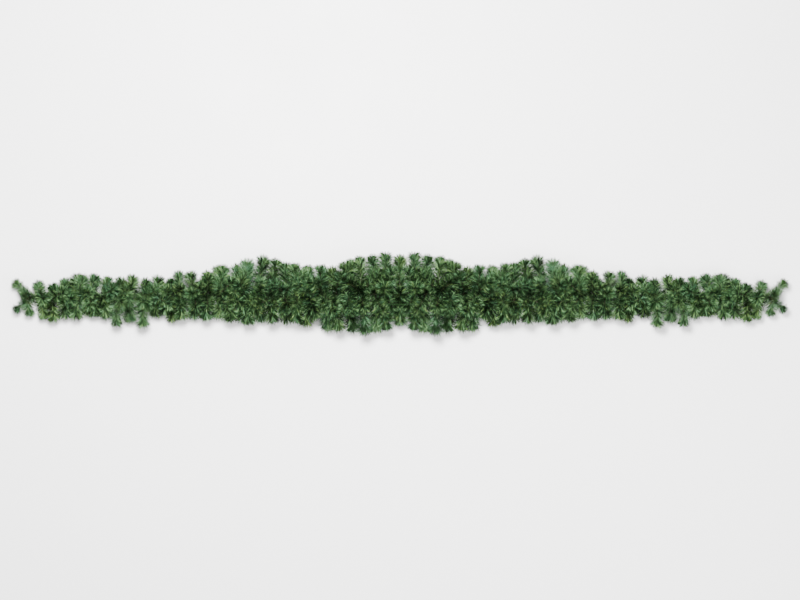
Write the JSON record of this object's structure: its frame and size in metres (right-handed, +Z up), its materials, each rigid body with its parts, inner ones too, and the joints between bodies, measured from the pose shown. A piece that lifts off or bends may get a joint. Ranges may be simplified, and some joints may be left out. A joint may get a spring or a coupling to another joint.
{
  "type": "door garland",
  "caption": "Straight artificial pine garland for over a door, with needled tips on a wire spine, full in the middle and tapered to both ends.",
  "frame": {"origin": "bottom centre of the bounding box, on the surface that the garland lies on", "axes": "+X along the garland, +Y across it to the far edge, +Z up to the front of the garland"},
  "size_m": [2.7023, 0.3032, 0.131],
  "materials": {
    "pine_needles": "matte green film",
    "spine_wire": "dark green painted wire"
  },
  "bodies": {
    "root": {"spine": "spine_wire", "spray_left_29": "pine_needles", "spray_left_28": "pine_needles", "spray_left_27": "pine_needles", "spray_left_26": "pine_needles", "spray_left_25": "pine_needles", "spray_left_24": "pine_needles", "spray_left_23": "pine_needles", "spray_left_22": "pine_needles", "spray_left_21": "pine_needles", "spray_left_20": "pine_needles", "spray_left_19": "pine_needles", "spray_left_18": "pine_needles", "spray_left_17": "pine_needles", "spray_left_16": "pine_needles", "spray_left_15": "pine_needles", "spray_left_14": "pine_needles", "spray_left_13": "pine_needles", "spray_left_12": "pine_needles", "spray_left_11": "pine_needles", "spray_left_10": "pine_needles", "spray_left_09": "pine_needles", "spray_left_08": "pine_needles", "spray_left_07": "pine_needles", "spray_left_06": "pine_needles", "spray_left_05": "pine_needles", "spray_left_04": "pine_needles", "spray_left_03": "pine_needles", "spray_left_02": "pine_needles", "spray_left_01": "pine_needles", "spray_middle": "pine_needles", "spray_right_01": "pine_needles", "spray_right_02": "pine_needles", "spray_right_03": "pine_needles", "spray_right_04": "pine_needles", "spray_right_05": "pine_needles", "spray_right_06": "pine_needles", "spray_right_07": "pine_needles", "spray_right_08": "pine_needles", "spray_right_09": "pine_needles", "spray_right_10": "pine_needles", "spray_right_11": "pine_needles", "spray_right_12": "pine_needles", "spray_right_13": "pine_needles", "spray_right_14": "pine_needles", "spray_right_15": "pine_needles", "spray_right_16": "pine_needles", "spray_right_17": "pine_needles", "spray_right_18": "pine_needles", "spray_right_19": "pine_needles", "spray_right_20": "pine_needles", "spray_right_21": "pine_needles", "spray_right_22": "pine_needles", "spray_right_23": "pine_needles", "spray_right_24": "pine_needles", "spray_right_25": "pine_needles", "spray_right_26": "pine_needles", "spray_right_27": "pine_needles", "spray_right_28": "pine_needles", "spray_right_29": "pine_needles"}
  },
  "joints": []
}
